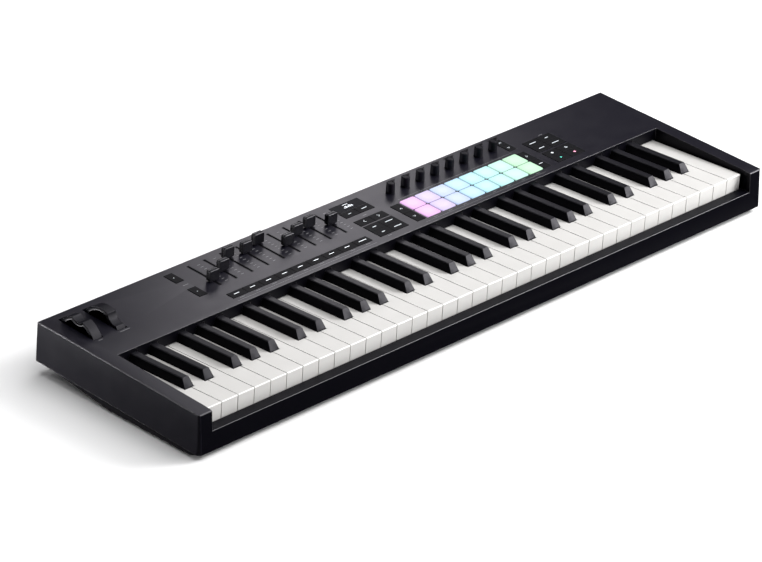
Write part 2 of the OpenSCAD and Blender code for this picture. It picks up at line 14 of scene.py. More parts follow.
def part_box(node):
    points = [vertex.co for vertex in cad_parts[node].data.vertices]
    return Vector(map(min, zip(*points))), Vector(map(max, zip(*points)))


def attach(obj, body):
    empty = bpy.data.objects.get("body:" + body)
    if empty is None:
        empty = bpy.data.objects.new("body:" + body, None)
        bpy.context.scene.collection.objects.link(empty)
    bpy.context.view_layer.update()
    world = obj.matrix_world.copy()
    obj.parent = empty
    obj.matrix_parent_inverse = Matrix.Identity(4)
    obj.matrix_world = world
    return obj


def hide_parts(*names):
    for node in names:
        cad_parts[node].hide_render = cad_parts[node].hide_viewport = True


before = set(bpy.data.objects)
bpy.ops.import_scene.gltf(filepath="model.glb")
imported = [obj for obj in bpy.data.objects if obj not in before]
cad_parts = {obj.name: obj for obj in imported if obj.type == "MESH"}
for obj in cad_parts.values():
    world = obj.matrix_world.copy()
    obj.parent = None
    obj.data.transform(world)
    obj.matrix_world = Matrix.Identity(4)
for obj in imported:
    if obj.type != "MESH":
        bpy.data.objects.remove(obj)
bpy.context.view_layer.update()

MM = 0.001
PANEL_FRONT = Vector((0, -0.12792, 0.055))
PANEL_TILT = math.radians(1.9)
PANEL = Matrix.Translation(PANEL_FRONT) @ Matrix.Rotation(PANEL_TILT, 4, "X")
OFF_PANEL = PANEL.inverted()
ROOT = "case"

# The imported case, in panel coordinates
WELL_HALF = 425 * MM
WELL_BACK = 148 * MM
WELL_FLOOR = -26 * MM
RAIL_FOOT = -27 * MM
FADER_AREA_FRONT = 191 * MM
FADER_AREA_RIGHT = -30 * MM
FADER_MIDDLE = 218.6 * MM
FADER_SLOT_HALF_WIDTH = 1 * MM
FADER_SLOT_HALF_LENGTH = 26.4 * MM

# The camera, in panel coordinates
CAMERA_AZIMUTH = math.radians(-46.29)
CAMERA_ELEVATION = math.radians(28.72)
CAMERA_ROLL = math.radians(3.49)
CAMERA_AIM = Vector((-33.2, 144.4, -45.6)) * MM
CAMERA_DISTANCE = 4.8084
CAMERA_LENS = 202.8

WELD = 1e-6
FLAT = math.radians(0.4)
CREASE = math.radians(35)
ABOUT = 0.1 * MM
MOTTLE = 0.04
INK_LIFT = 0.02 * MM
INK_THICKNESS = 0.05 * MM


# ---- Camera, lights, floor ----


def add_camera():
    az, el, roll = CAMERA_AZIMUTH, CAMERA_ELEVATION, CAMERA_ROLL
    back = Vector((math.sin(az) * math.cos(el), -math.cos(az) * math.cos(el), math.sin(el)))
    right = Vector((math.cos(az), math.sin(az), 0))
    up = back.cross(right)
    axes = (
        right * math.cos(roll) + up * math.sin(roll),
        up * math.cos(roll) - right * math.sin(roll),
        back,
    )
    turn = Matrix(axes).transposed().to_4x4()
    camera = bpy.data.objects.new("camera", bpy.data.cameras.new("camera"))
    camera.data.lens = CAMERA_LENS
    camera.data.sensor_width = 36
    camera.data.clip_end = 100
    bpy.context.scene.collection.objects.link(camera)
    camera.matrix_world = PANEL @ Matrix.Translation(CAMERA_AIM + back * CAMERA_DISTANCE) @ turn
    bpy.context.scene.camera = camera


def add_softbox(name, place, aim, size, power, colour=(1, 1, 1)):
    lamp = bpy.data.lights.new(name, "AREA")
    lamp.shape = "RECTANGLE"
    lamp.size, lamp.size_y = size
    lamp.energy = power
    lamp.color = colour
    box = bpy.data.objects.new(name, lamp)
    box.location = place
    box.rotation_mode = "QUATERNION"
    box.rotation_quaternion = (Vector(aim) - Vector(place)).to_track_quat("-Z", "Y")
    box.visible_camera = False
    bpy.context.scene.collection.objects.link(box)


def add_sky_light(name, direction, spread, strength):
    """A wide, soft light from above, equal over the whole floor."""
    lamp = bpy.data.lights.new(name, "SUN")
    lamp.energy = strength
    lamp.angle = spread
    sky = bpy.data.objects.new(name, lamp)
    sky.rotation_mode = "QUATERNION"
    sky.rotation_quaternion = Vector(direction).to_track_quat("Z", "Y")
    bpy.context.scene.collection.objects.link(sky)


def add_world():
    """A dim room: faint below the horizon and a little lighter above it."""
    world = bpy.data.worlds.new("room")
    bpy.context.scene.world = world
    world.use_nodes = True
    nodes, links = world.node_tree.nodes, world.node_tree.links
    place = nodes.new("ShaderNodeTexCoord")
    split = nodes.new("ShaderNodeSeparateXYZ")
    ramp = nodes.new("ShaderNodeValToRGB")
    ramp.color_ramp.elements[0].position = 0.0
    ramp.color_ramp.elements[0].color = (0.02, 0.02, 0.022, 1)
    ramp.color_ramp.elements[1].position = 0.25
    ramp.color_ramp.elements[1].color = (0.03, 0.03, 0.034, 1)
    links.new(place.outputs["Generated"], split.inputs[0])
    links.new(split.outputs["Z"], ramp.inputs[0])
    links.new(ramp.outputs[0], nodes["Background"].inputs["Color"])


def add_stage():
    floor_material, tree = new_material("floor_paper")
    shader = tree.nodes["Principled BSDF"]
    shader.inputs["Roughness"].default_value = 0.9
    shader.inputs["Specular IOR Level"].default_value = 0.1
    paper = noise(tree, 3.0, 2)
    tint(tree, paper, (0.88, 0.88, 0.88), (0.9, 0.9, 0.9), shader.inputs["Base Color"])
    bm = bmesh.new()
    loft(bm, [circle_ring(0, 0, 14, z, 96) for z in (-0.02, 0)])
    floor = link_mesh("floor", bm, floor_material)
    floor.visible_glossy = False

    glow, tree = new_material("backdrop_glow")
    tree.nodes.remove(tree.nodes["Principled BSDF"])
    light = tree.nodes.new("ShaderNodeEmission")
    light.inputs["Color"].default_value = (0.96, 0.96, 0.97, 1)
    tree.links.new(light.outputs[0], tree.nodes["Material Output"].inputs["Surface"])
    bm = bmesh.new()
    bmesh.ops.create_icosphere(bm, subdivisions=4, radius=30)
    backdrop = link_mesh("backdrop", bm, glow)
    for ray in ("visible_diffuse", "visible_glossy", "visible_transmission", "visible_shadow"):
        setattr(backdrop, ray, False)


# ---- Material tools ----


def new_material(name):
    material = bpy.data.materials.new(name)
    material.use_nodes = True
    return material, material.node_tree


def noise(tree, scale, detail, kind="ShaderNodeTexNoise"):
    """Noise fixed to the piece, with scale in cycles per metre."""
    place = tree.nodes.get("Texture Coordinate") or tree.nodes.new("ShaderNodeTexCoord")
    texture = tree.nodes.new(kind)
    texture.inputs["Scale"].default_value = scale
    if "Detail" in texture.inputs:
        texture.inputs["Detail"].default_value = detail
    tree.links.new(place.outputs["Object"], texture.inputs["Vector"])
    return texture.outputs[0]


def remap(tree, value, low, high, start=0.3, end=0.7):
    node = tree.nodes.new("ShaderNodeMapRange")
    node.inputs["From Min"].default_value = start
    node.inputs["From Max"].default_value = end
    node.inputs["To Min"].default_value = low
    node.inputs["To Max"].default_value = high
    tree.links.new(value, node.inputs["Value"])
    return node.outputs["Result"]


def blend_colours(tree, factor, first, second):
    """Each of first and second is a colour or a socket."""
    mix = tree.nodes.new("ShaderNodeMix")
    mix.data_type = "RGBA"
    tree.links.new(factor, mix.inputs["Factor"])
    for value, socket in ((first, mix.inputs[6]), (second, mix.inputs[7])):
        if isinstance(value, bpy.types.NodeSocket):
            tree.links.new(value, socket)
        else:
            socket.default_value = (*value, 1)
    return mix.outputs[2]


def tint(tree, factor, first, second, target):
    tree.links.new(blend_colours(tree, factor, first, second), target)


def add_bump(tree, height, distance, strength, under=None):
    bump = tree.nodes.new("ShaderNodeBump")
    bump.inputs["Distance"].default_value = distance
    bump.inputs["Strength"].default_value = strength
    tree.links.new(height, bump.inputs["Height"])
    if under:
        tree.links.new(under, bump.inputs["Normal"])
    return bump.outputs["Normal"]


def moulded(name, colour, rough, grain=0.5, grain_depth=0.03, shine=0.5, edge_wear_and_highlight=0.35):
    """Moulded plastic or rubber: a fine spark-eroded grain of the given size and depth in mm, soft
    blotches in its gloss and colour, and edges lighter, as wear and as a painted highlight."""
    material, tree = new_material(name)
    shader = tree.nodes["Principled BSDF"]
    shader.inputs["Specular IOR Level"].default_value = shine
    shader.inputs["Specular Tint"].default_value = (0.96, 0.93, 1, 1)
    blotch = noise(tree, 9, 3)
    speck = noise(tree, 1 / (0.9 * grain * MM), 2)
    smear = noise(tree, 45, 4)
    low = tuple(c * (1 - MOTTLE) for c in colour)
    high = tuple(c * (1 + MOTTLE) for c in colour)
    body = blend_colours(tree, remap(tree, blotch, 0, 1), low, high)
    body = blend_colours(tree, remap(tree, speck, 0, 0.35), body, high)
    shape = tree.nodes.new("ShaderNodeNewGeometry")
    # Sharp edges are painted lighter: partly rubbed wear, partly a painted highlight line along
    # them.
    wear_and_highlight_mask = remap(tree, shape.outputs["Pointiness"], 0, edge_wear_and_highlight, 0.52, 0.64)
    light = tuple(min(1, 0.09 + c * 1.5) for c in colour)
    tree.links.new(blend_colours(tree, wear_and_highlight_mask, body, light), shader.inputs["Base Color"])
    tree.links.new(remap(tree, smear, rough - 0.02, rough + 0.02), shader.inputs["Roughness"])
    pebble = noise(tree, 1 / (grain * MM), 0, "ShaderNodeTexVoronoi")
    normal = add_bump(tree, pebble, grain_depth * MM, 0.35)
    normal = add_bump(tree, speck, grain_depth * MM * 0.6, 0.3, normal)
    tree.links.new(normal, shader.inputs["Normal"])
    return material


def key_plastic(name, colour, rough, shine):
    """Key plastic: a faint lengthwise polish, and finger grease that varies its gloss."""
    material, tree = new_material(name)
    shader = tree.nodes["Principled BSDF"]
    shader.inputs["Specular IOR Level"].default_value = shine
    cloud = noise(tree, 25, 3)
    low = tuple(c * 0.965 for c in colour)
    tint(tree, remap(tree, cloud, 0, 1), low, colour, shader.inputs["Base Color"])
    smear = noise(tree, 60, 4)
    tree.links.new(remap(tree, smear, rough - 0.05, rough + 0.08), shader.inputs["Roughness"])
    place = tree.nodes["Texture Coordinate"]
    stretch = tree.nodes.new("ShaderNodeMapping")
    stretch.inputs["Scale"].default_value = (1, 0.04, 1)
    polish = tree.nodes.new("ShaderNodeTexNoise")
    polish.inputs["Scale"].default_value = 2500
    tree.links.new(place.outputs["Object"], stretch.inputs["Vector"])
    tree.links.new(stretch.outputs[0], polish.inputs["Vector"])
    tree.links.new(add_bump(tree, polish.outputs[0], 0.01 * MM, 0.2), shader.inputs["Normal"])
    return material


def lit_silicone(name, edge, centre, strength):
    """A translucent pad lit from below: pale in the middle and more coloured towards its rim."""
    material, tree = new_material(name)
    shader = tree.nodes["Principled BSDF"]
    shader.inputs["Emission Strength"].default_value = strength
    shader.inputs["Roughness"].default_value = 0.45
    shader.inputs["Specular IOR Level"].default_value = 0.3
    place = tree.nodes.new("ShaderNodeTexCoord")
    middle = tree.nodes.new("ShaderNodeVectorMath")
    middle.operation = "SUBTRACT"
    middle.inputs[1].default_value = (0.5, 0.5, 0.5)
    tree.links.new(place.outputs["Generated"], middle.inputs[0])
    flat = tree.nodes.new("ShaderNodeVectorMath")
    flat.operation = "MULTIPLY"
    flat.inputs[1].default_value = (1, 1, 0)
    tree.links.new(middle.outputs[0], flat.inputs[0])
    length = tree.nodes.new("ShaderNodeVectorMath")
    length.operation = "LENGTH"
    tree.links.new(flat.outputs[0], length.inputs[0])
    cloud = noise(tree, 120, 2)
    towards_rim = remap(tree, length.outputs["Value"], 0, 1, 0.2, 0.66)
    glow = blend_colours(tree, towards_rim, centre, edge)
    tree.links.new(glow, shader.inputs["Emission Color"])
    faint = tuple(0.3 * c for c in edge)
    tint(tree, remap(tree, cloud, 0, 1), faint, tuple(0.33 * c for c in edge),
         shader.inputs["Base Color"])
    speck = noise(tree, 1500, 1)
    tree.links.new(add_bump(tree, speck, 0.02 * MM, 0.2), shader.inputs["Normal"])
    return material


def lamp_print(name, colour, strength):
    """A printed mark, a little uneven, that light shows through where strength is over 0."""
    material, tree = new_material(name)
    shader = tree.nodes["Principled BSDF"]
    shader.inputs["Emission Strength"].default_value = strength
    shader.inputs["Roughness"].default_value = 0.5
    uneven = noise(tree, 900, 2)
    low = tuple(0.85 * c for c in colour)
    tint(tree, remap(tree, uneven, 0, 1), low, colour, shader.inputs["Emission Color"])
    tint(tree, remap(tree, uneven, 0, 1), low, colour, shader.inputs["Base Color"])
    return material


def brushed_metal(name, colour, rough):
    material, tree = new_material(name)
    shader = tree.nodes["Principled BSDF"]
    shader.inputs["Metallic"].default_value = 1
    scratches = noise(tree, 1800, 4)
    low = tuple(0.8 * c for c in colour)
    tint(tree, remap(tree, scratches, 0, 1), low, colour, shader.inputs["Base Color"])
    tree.links.new(remap(tree, scratches, rough - 0.08, rough + 0.1), shader.inputs["Roughness"])
    tree.links.new(add_bump(tree, scratches, 0.02 * MM, 0.3), shader.inputs["Normal"])
    return material


def circuit_board(name):
    """Green solder mask over a grid of tracks."""
    material, tree = new_material(name)
    shader = tree.nodes["Principled BSDF"]
    shader.inputs["Roughness"].default_value = 0.35
    tracks = noise(tree, 420, 0, "ShaderNodeTexVoronoi")
    tint(tree, remap(tree, tracks, 0, 1, 0.25, 0.4), (0.03, 0.16, 0.07), (0.015, 0.09, 0.04),
         shader.inputs["Base Color"])
    tree.links.new(add_bump(tree, tracks, 0.04 * MM, 0.5), shader.inputs["Normal"])
    return material


def dark_glass(name):
    material, tree = new_material(name)
    shader = tree.nodes["Principled BSDF"]
    shader.inputs["Specular IOR Level"].default_value = 0.015
    smudge = noise(tree, 90, 3)
    tint(tree, remap(tree, smudge, 0, 1), (0.006, 0.006, 0.008), (0.012, 0.012, 0.015),
         shader.inputs["Base Color"])
    tree.links.new(remap(tree, smudge, 0.28, 0.36), shader.inputs["Roughness"])
    return material


# ---- Mesh tools ----


def link_mesh(name, bm, material):
    mesh = bpy.data.meshes.new(name)
    bm.to_mesh(mesh)
    bm.free()
    mesh.materials.append(material)
    made = bpy.data.objects.new(name, mesh)
    bpy.context.scene.collection.objects.link(made)
    return made


def circle_ring(x, y, radius, z, steps):
    turn = math.tau / steps
    return [(x + radius * math.cos(k * turn), y + radius * math.sin(k * turn), z)
            for k in range(steps)]


def rounded_rectangle(low, high, radius, z, steps=5):
    """A closed ring of points, anticlockwise, for a rectangle with round corners."""
    (x0, y0), (x1, y1) = low, high
    radius = max(radius, 0.02 * MM)
    corners = ((x1 - radius, y1 - radius), (x0 + radius, y1 - radius),
               (x0 + radius, y0 + radius), (x1 - radius, y0 + radius))
    ring = []
    for quarter, (cx, cy) in enumerate(corners):
        for k in range(steps + 1):
            angle = math.pi / 2 * (quarter + k / steps)
            ring.append((cx + radius * math.cos(angle), cy + radius * math.sin(angle), z))
    return ring


def loft(bm, rings):
    """Joins closed rings with the same number of points, closes both ends, returns the points."""
    made = [[bm.verts.new(p) for p in ring] for ring in rings]
    count = len(made[0])
    for lower, upper in zip(made, made[1:]):
        for k in range(count):
            bm.faces.new((lower[k], lower[(k + 1) % count], upper[(k + 1) % count], upper[k]))
    bm.faces.new(list(reversed(made[0])))
    bm.faces.new(made[-1])
    return [v for ring in made for v in ring]


def slab(bm, low, high, corner, rim, crown=0.0, foot_rim=0.0):
    """A block with round corners and a rounded rim at its top, and at its foot if foot_rim is set.
    With crown, its top swells by that much towards the middle."""
    (x0, y0, z0), (x1, y1, z1) = low, high
    levels = []
    for k in range(4 if foot_rim else 0):
        angle = math.pi / 2 * k / 4
        levels.append((foot_rim * (1 - math.sin(angle)), z0 + foot_rim * (1 - math.cos(angle))))
    levels.append((0, z0 + foot_rim))
    for k in range(5):
        angle = math.pi / 2 * k / 4
        levels.append((rim * (1 - math.cos(angle)), z1 - crown - rim * (1 - math.sin(angle))))
    half = min(x1 - x0, y1 - y0) / 2
    for k in range(1, 6 if crown else 1):
        share = k / 6
        levels.append((rim + (half - rim) * share, z1 - crown * (1 - share) ** 2))
    rings = [
        rounded_rectangle((x0 + inset, y0 + inset), (x1 - inset, y1 - inset),
                          max(corner - inset, corner * 0.15), z)
        for inset, z in levels
    ]
    return loft(bm, rings)


def extent(bm):
    """Lowest and highest corner."""
    axes = list(zip(*(v.co for v in bm.verts)))
    return Vector(map(min, axes)), Vector(map(max, axes))


def solids(node):
    """The separate solids of a CAD node in panel coordinates, with the triangles of each flat face
    joined, in rows from front to back and from left to right in each row."""
    whole = bmesh.new()
    whole.from_mesh(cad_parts[node].data)
    bmesh.ops.transform(whole, matrix=OFF_PANEL, verts=whole.verts)
    bmesh.ops.remove_doubles(whole, verts=whole.verts, dist=WELD)
    bmesh.ops.dissolve_limit(whole, angle_limit=FLAT, verts=whole.verts, edges=whole.edges)
    whole.verts.index_update()
    island = [-1] * len(whole.verts)
    count = 0
    for seed in whole.verts:
        if island[seed.index] >= 0:
            continue
        island[seed.index] = count
        todo = [seed]
        while todo:
            vert = todo.pop()
            for edge in vert.link_edges:
                other = edge.other_vert(vert)
                if island[other.index] < 0:
                    island[other.index] = count
                    todo.append(other)
        count += 1
    parts = []
    for k in range(count):
        part = whole.copy()
        others = [v for v, home in zip(part.verts, island) if home != k]
        bmesh.ops.delete(part, geom=others, context="VERTS")
        low, high = extent(part)
        parts.append((round((low.y + high.y) / 2, 4), (low.x + high.x) / 2, part))
    whole.free()
    return [part for _, _, part in sorted(parts, key=lambda row: row[:2])]


def weigh_edges(bm, rule):
    """Gives each sharp edge the bevel weight that rule(edge) returns. Those without stay sharp."""
    layer = bm.edges.layers.float.new("bevel_weight_edge")
    for edge in bm.edges:
        sharp = len(edge.link_faces) == 2 and edge.calc_face_angle() > CREASE
        weight = rule(edge) if sharp else 0
        edge[layer] = weight
        edge.smooth = weight > 0 or not sharp
    for face in bm.faces:
        face.smooth = True


def place(name, bm, body, material, slot, stands_for=None, soft=0.0, segments=3):
    """Makes a piece from bm, which is in panel coordinates. Its edges are rounded by soft times
    their bevel weight."""
    bmesh.ops.transform(bm, matrix=PANEL, verts=bm.verts)
    made = link_mesh(name, bm, material)
    if soft:
        bevel = made.modifiers.new("soft_edges", "BEVEL")
        bevel.limit_method = "WEIGHT"
        bevel.width = soft
        bevel.segments = segments
        bevel.use_clamp_overlap = False
    made.modifiers.new("even_normals", "WEIGHTED_NORMAL").keep_sharp = True
    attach(made, body)
    if stands_for:
        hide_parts(stands_for)
    return made


def smooth_all(bm):
    for edge in bm.edges:
        edge.smooth = len(edge.link_faces) != 2 or edge.calc_face_angle() < CREASE
    for face in bm.faces:
        face.smooth = True


def ends(edge):
    return [v.co for v in edge.verts]


# ---- Case ----


def add_case():
    """The two case halves, with their moulded edges rounded."""
    (bm,) = solids("top_case")
    high = extent(bm)[1]

    def top_rule(edge):
        a, b = ends(edge)
        opening = min(a.z, b.z) > -1 * MM
        fader_slot = min(a.y, b.y) > FADER_AREA_FRONT and max(a.x, b.x) < FADER_AREA_RIGHT
        outside = all(p.y < 1 * MM or p.y > high.y - 1 * MM or abs(p.x) > high.x - 2.5 * MM
                      for p in (a, b))
        well = min(a.z, b.z) > WELL_FLOOR and all(
            abs(abs(p.x) - WELL_HALF) < ABOUT or abs(p.y - WELL_BACK) < ABOUT for p in (a, b))
        rail = all(p.y < 1 * MM and p.z > RAIL_FOOT for p in (a, b))
        return (1 if outside or rail else 0.6 if well
                else 0.3 if opening and not fader_slot else 0)

    bmesh.ops.triangulate(bm, faces=[f for f in bm.faces if len(f.verts) > 4])
    weigh_edges(bm, top_rule)
    shell = place("top_case_shell", bm, ROOT, MATERIALS["case"], "case", "top_case", 0.5 * MM)
    shell.data.materials.append(MATERIALS["painted_shade"])
    shell.data.materials.append(MATERIALS["painted_edge_highlight"])
    # The rounded edges get the lighter, glossier edge plastic: a painted highlight along them.
    shell.modifiers["soft_edges"].material = 2
    # Faces in the key well and the front faces get the darker plastic: painted shade where the well
    # and front lie in shadow.
    for face in shell.data.polygons:
        middle = OFF_PANEL @ face.center
        in_well = abs(middle.x) < WELL_HALF + ABOUT and middle.y < WELL_BACK + ABOUT
        if (in_well and middle.z < -1 * MM) or face.normal.y < -0.98:
            face.material_index = 1

    (bm,) = solids("bottom_case")
    high = extent(bm)[1]
    weigh_edges(bm, lambda e: 1 if all(abs(p.x) > high.x - ABOUT for p in ends(e)) else 0)
    place("bottom_case_pan", bm, ROOT, MATERIALS["base"], "base", "bottom_case", 0.6 * MM)


# ---- Keys ----

WHITE_NODES = ["keys_c", "keys_d", "keys_e", "keys_f", "keys_g", "keys_a", "keys_b", "key_top_c"]
BLACK_NODES = ["keys_c_sharp", "keys_d_sharp", "keys_f_sharp", "keys_g_sharp", "keys_a_sharp"]


def add_white_key(name, bm, node):
    low, high = extent(bm)
    back_top = max(v.co.z for v in bm.verts if v.co.y > high.y - ABOUT)
    slope = (high.z - back_top) / (high.y - low.y)

    def on_top(point):
        return abs(high.z - slope * (point.y - low.y) - point.z) < ABOUT

    def rule(edge):
        a, b = ends(edge)
        in_front = max(a.y, b.y) < low.y + ABOUT
        if on_top(a) and on_top(b):
            return 1 if in_front else 0.4
        return 0.35 if in_front else 0

    weigh_edges(bm, rule)
    key = place(name, bm, node, MATERIALS["white_key"], "white_key", node, 1.1 * MM, 4)
    # The rounded edges get a brighter, glossier copy of the key plastic: a painted highlight along
    # them.
    key.data.materials.append(MATERIALS["white_key_painted_highlight"])
    key.modifiers["soft_edges"].material = 1


def add_black_key(name, bm, node):
    low = extent(bm)[0]
    weigh_edges(bm, lambda e: 1 if min(p.z for p in ends(e)) > low.z + 10 * MM else 0)
    key = place(name, bm, node, MATERIALS["black_key"], "black_key", node, 0.5 * MM, 3)
    key.data.materials.append(MATERIALS["key_side_painted_shade"])
    # The side faces get a darker, duller copy of the key plastic: painted shade on the sides.
    for face in key.data.polygons:
        if abs(face.normal.x) > 0.8:
            face.material_index = 1


def add_keys():
    for node in WHITE_NODES:
        for k, bm in enumerate(solids(node)):
            add_white_key(f"{node}_{k + 1}", bm, node)
    for node in BLACK_NODES:
        for k, bm in enumerate(solids(node)):
            add_black_key(f"{node}_{k + 1}", bm, node)


# ---- Wheels, faders, knobs ----


def add_wheels():
    for node in ("pitch_wheel", "mod_wheel"):
        (bm,) = solids(node)
        low, high = extent(bm)
        cheeks = [f for f in bm.faces if abs(f.normal.x) > 0.99 and f.calc_area() > 1e-4]
        bmesh.ops.inset_individual(bm, faces=cheeks, thickness=1.5 * MM, depth=-0.9 * MM)
        weigh_edges(bm, lambda e: 1 if min(
            min(abs(p.x - low.x), abs(p.x - high.x)) < 0.05 * MM for p in ends(e)) else 0)
        place(f"{node}_tread", bm, node, MATERIALS["wheel"], "wheel", node, 0.4 * MM, 3)


def leaf(bm, x0, x1, z0, z1, front, back, corner, rim):
    """An upright slab between y = front and y = back."""
    verts = slab(bm, (x0, z0, -back), (x1, z1, -front), corner, rim, foot_rim=rim)
    bmesh.ops.rotate(bm, verts=verts, cent=(0, 0, 0), matrix=Matrix.Rotation(math.pi / 2, 3, "X"))


def add_fader_caps():
    """Each cap is a thick front leaf and a thinner back leaf on a narrower core, on its stem. The
    rims of the leaves carry a lighter, glossier plastic as a painted highlight."""
    for k in range(9):
        node = f"fader_cap_{k + 1}"
        (solid,) = solids(node)
        low, high = extent(solid)
        foot = min(v.co.z for v in solid.verts if abs(v.co.x - low.x) < 0.01 * MM)
        solid.free()
        middle = (low.x + high.x) / 2
        bm = bmesh.new()
        leaf(bm, low.x, high.x, foot, high.z, low.y, low.y + 3.6 * MM, 2.0 * MM, 0.6 * MM)
        leaf(bm, low.x, high.x, foot, high.z - 0.2 * MM, low.y + 4.3 * MM, high.y,
             2.0 * MM, 0.4 * MM)
        leaf(bm, low.x + 0.8 * MM, high.x - 0.8 * MM, foot + 0.2 * MM, high.z - 0.9 * MM,
             low.y + 1 * MM, high.y - 0.8 * MM, 1.5 * MM, 0.1 * MM)
        slab(bm, (middle - 0.7 * MM, low.y + 1.2 * MM, low.z),
             (middle + 0.7 * MM, high.y - 1.2 * MM, foot + 1 * MM), 0.3 * MM, 0.1 * MM)
        smooth_all(bm)
        grip = place(f"{node}_grip", bm, node, MATERIALS["control"], "control", node)
        grip.data.materials.append(MATERIALS["painted_edge_highlight"])
        # Oblique rim faces get the lighter edge plastic: a painted highlight on the leaf rims.
        for face in grip.data.polygons:
            if 0.2 < abs(face.normal.y) < 0.97:
                face.material_index = 1


def add_knobs():
    for k in range(8):
        node = f"encoder_knob_{k + 1}"
        (bm,) = solids(node)
        high = extent(bm)[1]
        weigh_edges(bm, lambda e: 1 if min(p.z for p in ends(e)) > high.z - 0.7 * MM else 0)
        place(f"{node}_cap", bm, node, MATERIALS["control"], "control", node, 0.25 * MM, 3)


# ---- Pads ----

PAD_GLOW = [
    ((0.85, 0.47, 0.89), (0.95, 0.72, 0.97)),
    ((0.66, 0.56, 0.92), (0.86, 0.76, 0.98)),
    ((0.54, 0.65, 0.94), (0.76, 0.83, 0.98)),
    ((0.48, 0.74, 0.97), (0.72, 0.90, 1.0)),
    ((0.46, 0.84, 0.94), (0.72, 0.95, 1.0)),
    ((0.49, 0.90, 0.90), (0.74, 1.0, 0.98)),
    ((0.53, 0.91, 0.78), (0.76, 1.0, 0.92)),
    ((0.53, 0.89, 0.60), (0.74, 0.97, 0.78)),
]


def add_pads():
    """Two rows of eight pads, each a crowned silicone block over the row's common sheet."""
    glow = [lit_silicone(f"pad_glow_{k + 1}", edge, centre, 0.7)
            for k, (edge, centre) in enumerate(PAD_GLOW)]
    for node in ("pad_row_front", "pad_row_back"):
        (solid,) = solids(node)
        low, high = extent(solid)
        caps = [v.co for v in solid.verts if v.co.z > high.z - 0.01 * MM]
        left, right = min(p.x for p in caps), max(p.x for p in caps)
        front, back = min(p.y for p in caps), max(p.y for p in caps)
        side = back - front
        pitch = (right - left - side) / 7
        solid.free()
        sheet_top = -5.2 * MM
        bm = bmesh.new()
        slab(bm, (low.x, low.y, -7 * MM), (high.x, high.y, sheet_top), 1 * MM, 0.2 * MM)
        smooth_all(bm)
        place(f"{node}_sheet", bm, node, MATERIALS["pad_sheet"], "pad", node)
        for k in range(8):
            x = left + k * pitch
            bm = bmesh.new()
            slab(bm, (x, front, sheet_top + 0.02 * MM), (x + side, back, high.z),
                 2.1 * MM, 0.6 * MM, crown=0.12 * MM)
            smooth_all(bm)
            place(f"{node}_pad_{k + 1}", bm, node, glow[k], "pad")


# ---- Buttons, legends, display ----


def bar(bm, x, y, z, length, width):
    loft(bm, [rounded_rectangle((x - length / 2, y - width / 2), (x + length / 2, y + width / 2),
                                width * 0.4, level, 3)
              for level in (z + INK_LIFT, z + INK_LIFT + INK_THICKNESS)])


def dot(bm, x, y, z, radius):
    loft(bm, [circle_ring(x, y, radius, level, 24)
              for level in (z + INK_LIFT, z + INK_LIFT + INK_THICKNESS)])


def shape(bm, x, y, z, outline, angle=0.0):
    turn = Matrix.Rotation(math.radians(angle), 2)
    points = [turn @ Vector(p) for p in outline]
    loft(bm, [[(x + p.x, y + p.y, level) for p in points]
              for level in (z + INK_LIFT, z + INK_LIFT + INK_THICKNESS)])


def chevron(bm, x, y, z, reach, stroke, angle):
    """An open arrowhead that points along +Y before it is turned by angle."""
    half, tip = reach / 2, reach / 3
    shape(bm, x, y, z, [(-half, -tip), (-half + stroke, -tip), (0, tip - stroke * 1.1),
                        (half - stroke, -tip), (half, -tip), (0, tip)], angle)


def triangle(bm, x, y, z, radius):
    """A triangle that points along +X."""
    corners = [math.radians(t) for t in (0, 120, 240)]
    shape(bm, x, y, z, [(radius * math.cos(a), radius * math.sin(a)) for a in corners])


def band(bm, z, stroke, outline):
    """A closed band of ink. outline(inset, level) gives its ring at an inset from its outside."""
    low, high = z + INK_LIFT, z + INK_LIFT + INK_THICKNESS
    rings = [outline(inset, level) for inset, level in
             ((0, low), (0, high), (stroke, high), (stroke, low))]
    made = [[bm.verts.new(p) for p in ring] for ring in rings]
    count = len(made[0])
    for a, b in zip(made, made[1:] + made[:1]):
        for k in range(count):
            bm.faces.new((a[k], a[(k + 1) % count], b[(k + 1) % count], b[k]))


def hoop(bm, x, y, z, radius, stroke):
    band(bm, z, stroke, lambda inset, level: circle_ring(x, y, radius - inset, level, 28))


# What each button shows, from the front row to the back row and from left to right: a kind, then
# its length or radius in mm, and a bar's width in mm or a chevron's angle in degrees
LEGENDS = {
    "octave_buttons": [("dot", 0.5), ("dot", 0.65)],
    "display_buttons": [("bar", 4.6, 0.9), ("bar", 8.0, 0.9)],
    "track_buttons": [("chevron", 4.6, 90), ("chevron", 4.6, -90)],
    "edit_buttons": [
        ("bar", 4.6, 1.1), ("bar", 11.4, 1.0), ("bar", 5.6, 1.1), ("bar", 11.4, 1.0),
    ],
    "pad_bank_buttons": [("chevron", 3.8, 180), ("chevron", 3.8, 0)],
    "scene_buttons": [("bar", 6.4, 0.9), ("chevron", 3.8, -90)],
    "encoder_bank_buttons": [("chevron", 3.8, 180), ("chevron", 3.8, 0)],
    "function_buttons": [
        ("bar", 8.4, 1.0), ("bar", 11.2, 1.0), ("bar", 10.6, 1.0), ("bar", 5.0, 1.0),
    ],
    "transport_buttons": [("triangle", 1.7), ("dot", 1.5), ("dot", 1.6), ("hoop", 1.8)],
}
COLOURED = {("transport_buttons", 0): "glow_green", ("transport_buttons", 1): "glow_pink"}


def draw_legend(bm, kind, x, y, z, size, extra):
    if kind == "bar":
        bar(bm, x, y, z, size, extra)
    elif kind == "dot":
        dot(bm, x, y, z, size)
    elif kind == "chevron":
        chevron(bm, x, y, z, size, 0.7 * MM, extra / MM)
    elif kind == "triangle":
        triangle(bm, x, y, z, size)
    else:
        hoop(bm, x, y, z, size, 0.6 * MM)


